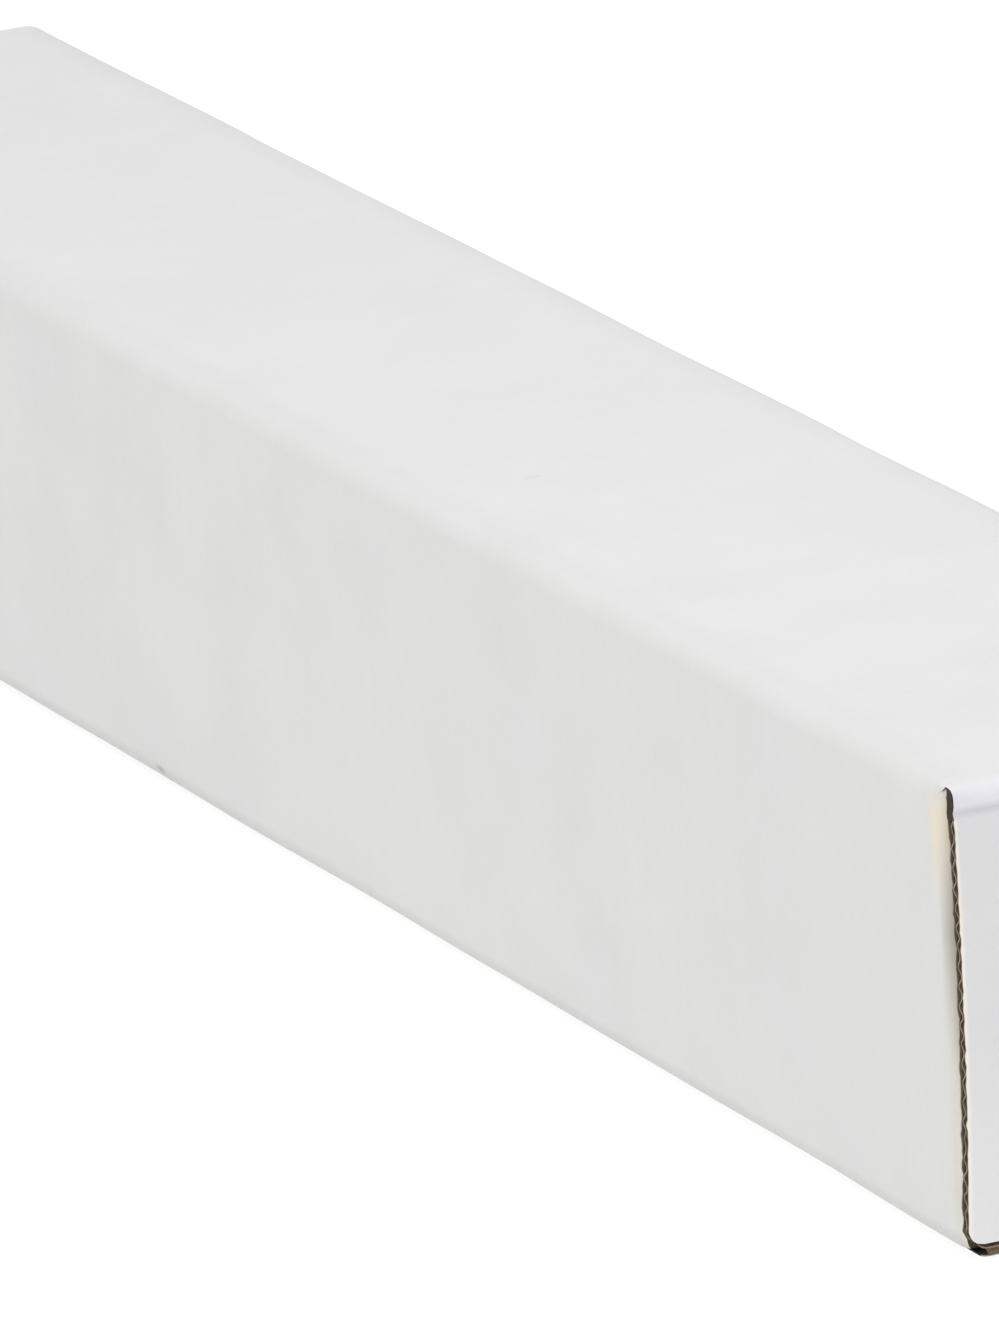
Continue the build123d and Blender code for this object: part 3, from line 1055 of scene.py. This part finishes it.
class TUBE_OT_flaps(bpy.types.Operator):
    """Make each main flap from its outer paper, its flutes and its lining"""

    bl_idname = "tube.flaps"
    bl_label = "Main flaps"

    def execute(self, context):
        board, _, _ = sizes()
        lining_depth = board.thickness - board.paper
        papers = (
            ("flap_paper", 0.0, ("white_flap_paper", "kraft_flutes", "cut_edge")),
            ("flap_lining", lining_depth, ("kraft_flutes", "kraft_lining", "lining_edge")),
        )
        made = []
        for name, depth, materials in papers:
            piece = self.paper("near_" + name, depth)
            self.settle(piece, depth)
            thicken(piece, board.paper, *materials)
            made.append((piece, name))
        piece = self.flutes()
        self.settle(piece, board.thickness / 2)
        flute_materials = ("kraft_flutes", "kraft_flutes", "cut_edge")
        thicken(piece, board.medium, *flute_materials, centred=True, smooth=FLUTE_SMOOTH)
        made.append((piece, "flap_flutes"))

        # The outer paper stands for the CAD's flap, and the rest rides with it
        for piece, name in made:
            twin = mirror_to_far_end(piece, "far_" + name)
            for part, body, node in ((piece, "near_end", "near_flap"), (twin, "far_end", "far_flap")):
                nodes = [node] if name == "flap_paper" else []
                carry(part, body, *nodes)
        return {"FINISHED"}

    def settle(self, piece, depth):
        """Hang the flap a little askew, drawn in at its foot, its rough cut sloping out to the lining."""
        board, tube, flap = sizes()
        for vertex in piece.data.vertices:
            spot = vertex.co
            down = min(max(1 - spot.z / tube.height, 0), 1)
            if abs(spot.y) > flap.tuck_half:
                part = (abs(spot.y) - flap.tuck_half) / (flap.half_width - flap.tuck_half)
                spot.y += math.copysign(flap.cut_slope * part * depth / board.thickness, spot.y)
                if part > ROUGH_FROM:
                    along = spot.z / board.pitch * ROUGH_RATE
                    spot.y += board.rough_cut * noise.noise(Vector((ROUGH_SHIFT * depth, 0, along)))
            spot.y -= flap.skew * down
            spot.x -= flap.draw_in * max(2 * down - 1, 0) ** 2

    def bow_facts(self):
        """The bow's top, radius, centre and angle."""
        _, tube, flap = sizes()
        top = tube.height - flap.hinge_radius - flap.crease_width
        chord = top - flap.foot
        radius = (chord**2 / 4 + flap.bow**2) / (2 * flap.bow)
        centre = Vector((flap.face + flap.bow - radius, 0, (top + flap.foot) / 2))
        return top, radius, centre, math.asin(chord / 2 / radius)

    def paper(self, name, depth):
        """One paper of the flap at a depth under its face: bow, tuck's fold and tuck."""
        _, tube, flap = sizes()
        top, radius, centre, half_angle = self.bow_facts()
        piece = new_row(name, ((flap.face, -flap.half_width, top), (flap.face, flap.half_width, top)))
        bpy.ops.object.mode_set(mode="EDIT")
        for side in (-1, 1):
            bpy.ops.mesh.select_all(action="SELECT")
            bpy.ops.mesh.bisect(plane_co=(0, side * flap.tuck_half, 0), plane_no=(0, 1, 0))
        pick(piece, "EDGE", lambda spot: abs(spot.y) < flap.tuck_half + TINY)
        bpy.ops.mesh.subdivide(number_cuts=FLAP_MIDDLE_COLUMNS)
        for side in (-1, 1):
            pick(piece, "EDGE", lambda spot: side * spot.y > flap.tuck_half - TINY)
            bpy.ops.mesh.subdivide(number_cuts=FLAP_SIDE_COLUMNS)
        bpy.ops.mesh.select_all(action="SELECT")

        # The bow stops where the tuck's fold takes over
        heading = math.radians(270) - half_angle
        turning = heading - (math.pi - flap.tuck_slope)
        tangent = flap.tuck_radius * math.tan(turning / 2)
        sweep = 2 * half_angle - tangent / radius
        spin(centre, (0, 1, 0), sweep, BOW_STEPS)
        bottom = Vector((math.cos(half_angle - sweep), 0, math.sin(half_angle - sweep))) * radius + centre
        for side in (-1, 1):
            pick(
                piece,
                "EDGE",
                lambda spot: abs(spot.z - bottom.z) < NEAR and side * spot.y > flap.tuck_half - TINY,
            )
            for _ in range(SHOULDER_ROWS):
                extrude((0, 0, (flap.shoulder - bottom.z) / SHOULDER_ROWS))
        pick(
            piece,
            "EDGE",
            lambda spot: abs(spot.z - bottom.z) < NEAR and abs(spot.y) < flap.tuck_half + TINY,
        )
        inward = Vector((-math.cos(half_angle - sweep), 0, -math.sin(half_angle - sweep)))
        fold_centre = bottom + inward * flap.tuck_radius
        spin(fold_centre, (0, 1, 0), turning, TURN_STEPS)
        run = flap.tuck_length - tangent
        along = Vector((-math.cos(flap.tuck_slope), 0, math.sin(flap.tuck_slope)))
        for _ in range(TUCK_ROWS):
            extrude(along * run / TUCK_ROWS)
        merge(piece)
        bpy.ops.object.mode_set(mode="OBJECT")
        self.shape_outline(piece, fold_centre, run)
        face_out(piece, (flap.face, 0, tube.height / 2), (1, 0, 0))
        if depth:
            sink(piece, depth)
        return piece

    def shape_outline(self, piece, fold_centre, run):
        """Round the flap's lower corners and draw in the tuck's end."""
        _, _, flap = sizes()
        for vertex in piece.data.vertices:
            spot = vertex.co
            rise = spot.z - flap.shoulder
            if abs(spot.y) > flap.tuck_half + TINY and rise < flap.shoulder_corner:
                part = (abs(spot.y) - flap.tuck_half) / (flap.half_width - flap.tuck_half)
                inset = corner_inset(flap.shoulder_corner, max(rise, 0))
                spot.y -= math.copysign(inset * part, spot.y)
            elif spot.x < fold_centre.x:
                gone = fold_centre.x - spot.x
                inset = corner_inset(flap.tuck_corner, max(run - gone, 0))
                half = flap.tuck_half - flap.tuck_draw * gone / run - inset
                spot.y *= half / flap.tuck_half

    def flutes(self):
        """The flap's medium, rows of its bow moved in and out to a wave."""
        board, _, flap = sizes()
        _, radius, centre, half_angle = self.bow_facts()
        middle = radius - board.thickness / 2
        wide = flap.half_width - FLUTE_GAP
        start = centre + Vector((math.cos(half_angle), 0, math.sin(half_angle))) * middle
        piece = new_row("near_flap_flutes", ((start.x, -wide, start.z), (start.x, wide, start.z)))
        step = board.pitch / board.wave_rows / middle
        rows = int((2 * half_angle - board.thickness / radius) / step)
        bpy.ops.object.mode_set(mode="EDIT")
        bpy.ops.mesh.select_all(action="SELECT")
        spin(centre, (0, 1, 0), step * rows, rows)
        bpy.ops.object.mode_set(mode="OBJECT")
        amplitude = flute_amplitude()
        for vertex in piece.data.vertices:
            away = vertex.co - centre
            away.y = 0
            row = (half_angle - math.atan2(away.z, away.x)) / step
            vertex.co += away.normalized() * amplitude * math.cos(2 * math.pi * row / board.wave_rows)
            rise = vertex.co.z - flap.shoulder
            if rise < flap.shoulder_corner:
                vertex.co.y -= math.copysign(corner_inset(flap.shoulder_corner, max(rise, 0)), vertex.co.y)
        return piece


class TUBE_OT_edge_flutes(bpy.types.Operator):
    """Fill the raw edges of the dust flaps, the seam and the bottom wall with flutes"""

    bl_idname = "tube.edge_flutes"
    bl_label = "Edge flutes"

    def execute(self, context):
        self.fill_dust_flaps()
        self.fill_seam()
        self.fill_sills()
        return {"FINISHED"}

    def fill_dust_flaps(self):
        """Flutes inside the dust flaps, narrowing with them."""
        board, tube, _ = sizes()
        depth = tube.wall_end + tube.fold_radius - board.thickness / 2
        middle = tube.height / 2
        reach = middle - tube.dust_slot - tube.dust_relief - DUST_EDGE_GAP
        slope = tube.dust_slope / (tube.dust_length - tube.fold_radius)
        for side, name in ((1, "back"), (-1, "front")):
            start = side * (tube.half_width - tube.fold_radius - DUST_NECK)
            piece = flute_sheet(
                f"near_{name}_dust_flutes",
                ((depth, start, middle - reach), (depth, start, middle + reach)),
                (0, -side, 0),
                DUST_FLUTES,
                flute_amplitude(),
                (1, 0, 0),
            )
            for vertex in piece.data.vertices:
                run = abs(start - vertex.co.y)
                vertex.co.z -= math.copysign(run * slope, vertex.co.z - middle)
            thicken(piece, board.medium, "kraft_flutes", centred=True, smooth=FLUTE_SMOOTH)
            twin = mirror_to_far_end(piece, f"far_{name}_dust_flutes")
            carry(piece, "body")
            carry(twin, "body")

    def fill_seam(self):
        """Flutes along the back wall's raw lower edge, a little lower ones where the wall waves."""
        board, tube, _ = sizes()
        start = -tube.wall_end + SEAM_INSET
        inside = tube.half_width - board.thickness / 2 - board.waviness / 2
        low = tube.seam_height + FLUTE_GAP
        high = tube.seam_height + SEAM_DEPTH
        seam = flute_sheet(
            "seam_flutes",
            ((start, inside, low), (start, inside, high)),
            (1, 0, 0),
            int(-2 * start / board.pitch),
            flute_amplitude() - board.waviness / 2,
            (0, 1, 0),
        )
        thicken(seam, board.medium, "kraft_flutes", centred=True, smooth=FLUTE_SMOOTH)
        carry(seam, "body")

    def fill_sills(self):
        """Flutes in the bottom wall's raw ends, open to the end."""
        board, tube, _ = sizes()
        end = tube.wall_end + tube.sill_length - SILL_DEPTH
        middle = board.thickness / 2
        sill = flute_sheet(
            "near_sill_flutes",
            ((end, SILL_FRONT, middle), (end, SILL_BACK, middle)),
            (-1, 0, 0),
            SILL_FLUTES,
            flute_amplitude(),
            (0, 0, -1),
        )
        sill_materials = ("kraft_lining", "kraft_lining", "lining_edge")
        thicken(sill, board.medium, *sill_materials, centred=True, smooth=FLUTE_SMOOTH)
        twin = mirror_to_far_end(sill, "far_sill_flutes")
        carry(sill, "body")
        carry(twin, "body")


class TUBE_OT_stage(bpy.types.Operator):
    """Set the white floor, the soft studio light and the camera"""

    bl_idname = "tube.stage"
    bl_label = "Stage"

    def execute(self, context):
        scene = context.scene
        bpy.ops.object.select_all(action="DESELECT")
        bpy.ops.mesh.primitive_plane_add(size=FLOOR_SIZE, location=(0, 0, FLOOR_LEVEL))
        floor = context.active_object
        floor.name = floor.data.name = "floor"
        floor.data.materials.append(floor_finish())

        world = scene.world or bpy.data.worlds.new("studio")
        scene.world = world
        world.use_nodes = True
        background = world.node_tree.nodes["Background"]
        background.inputs["Color"].default_value = (1, 1, 1, 1)
        background.inputs["Strength"].default_value = SKY_STRENGTH

        light = bpy.data.lights.new("key_light", "AREA")
        light.size = LIGHT_SIZE
        light.energy = LIGHT_POWER
        lamp = bpy.data.objects.new("key_light", light)
        lamp.location = LIGHT_PLACE
        lamp.rotation_euler = (-Vector(LIGHT_PLACE)).to_track_quat("-Z", "Y").to_euler()
        scene.collection.objects.link(lamp)

        view = bpy.data.cameras.new("photo_camera")
        view.sensor_width = CAMERA_SENSOR
        view.lens = CAMERA_LENS
        view.clip_end = CAMERA_FARTHEST
        camera = bpy.data.objects.new("photo_camera", view)
        axes = Matrix((CAMERA_RIGHT, CAMERA_UP, CAMERA_BACK))
        camera.matrix_world = Matrix.Translation(CAMERA_PLACE) @ axes.transposed().to_4x4()
        scene.collection.objects.link(camera)
        scene.camera = camera
        scene.view_settings.view_transform = "Standard"
        return {"FINISHED"}


class TUBE_PT_panel(bpy.types.Panel):
    """Shows the tube's sizes and finishes, and a button for each maker"""

    bl_idname = "TUBE_PT_panel"
    bl_label = "Mailing Tube"
    bl_space_type = "VIEW_3D"
    bl_region_type = "UI"
    bl_category = "Mailing Tube"

    def draw(self, context):
        scene = context.scene
        for group in (scene.board_sizes, scene.tube_sizes, scene.flap_sizes, scene.finishes):
            box = self.layout.box()
            for name in group.bl_rna.properties.keys():
                if name not in ("rna_type", "name"):
                    box.prop(group, name)
        for maker in MAKERS:
            self.layout.operator(maker.bl_idname)


MAKERS = (TUBE_OT_stage, TUBE_OT_sleeve, TUBE_OT_hinges, TUBE_OT_flaps, TUBE_OT_edge_flutes)
GROUPS = {
    "board_sizes": BoardSizes,
    "tube_sizes": TubeSizes,
    "flap_sizes": FlapSizes,
    "finishes": Finishes,
}


def register():
    for name, group in GROUPS.items():
        bpy.utils.register_class(group)
        setattr(bpy.types.Scene, name, bpy.props.PointerProperty(type=group))
    for maker in (*MAKERS, TUBE_PT_panel):
        bpy.utils.register_class(maker)


def unregister():
    for maker in (*MAKERS, TUBE_PT_panel):
        bpy.utils.unregister_class(maker)
    for name, group in GROUPS.items():
        delattr(bpy.types.Scene, name)
        bpy.utils.unregister_class(group)


def main():
    register()
    bpy.ops.tube.stage()
    bpy.ops.tube.sleeve()
    bpy.ops.tube.hinges()
    bpy.ops.tube.flaps()
    bpy.ops.tube.edge_flutes()


if __name__ == "__main__":
    main()
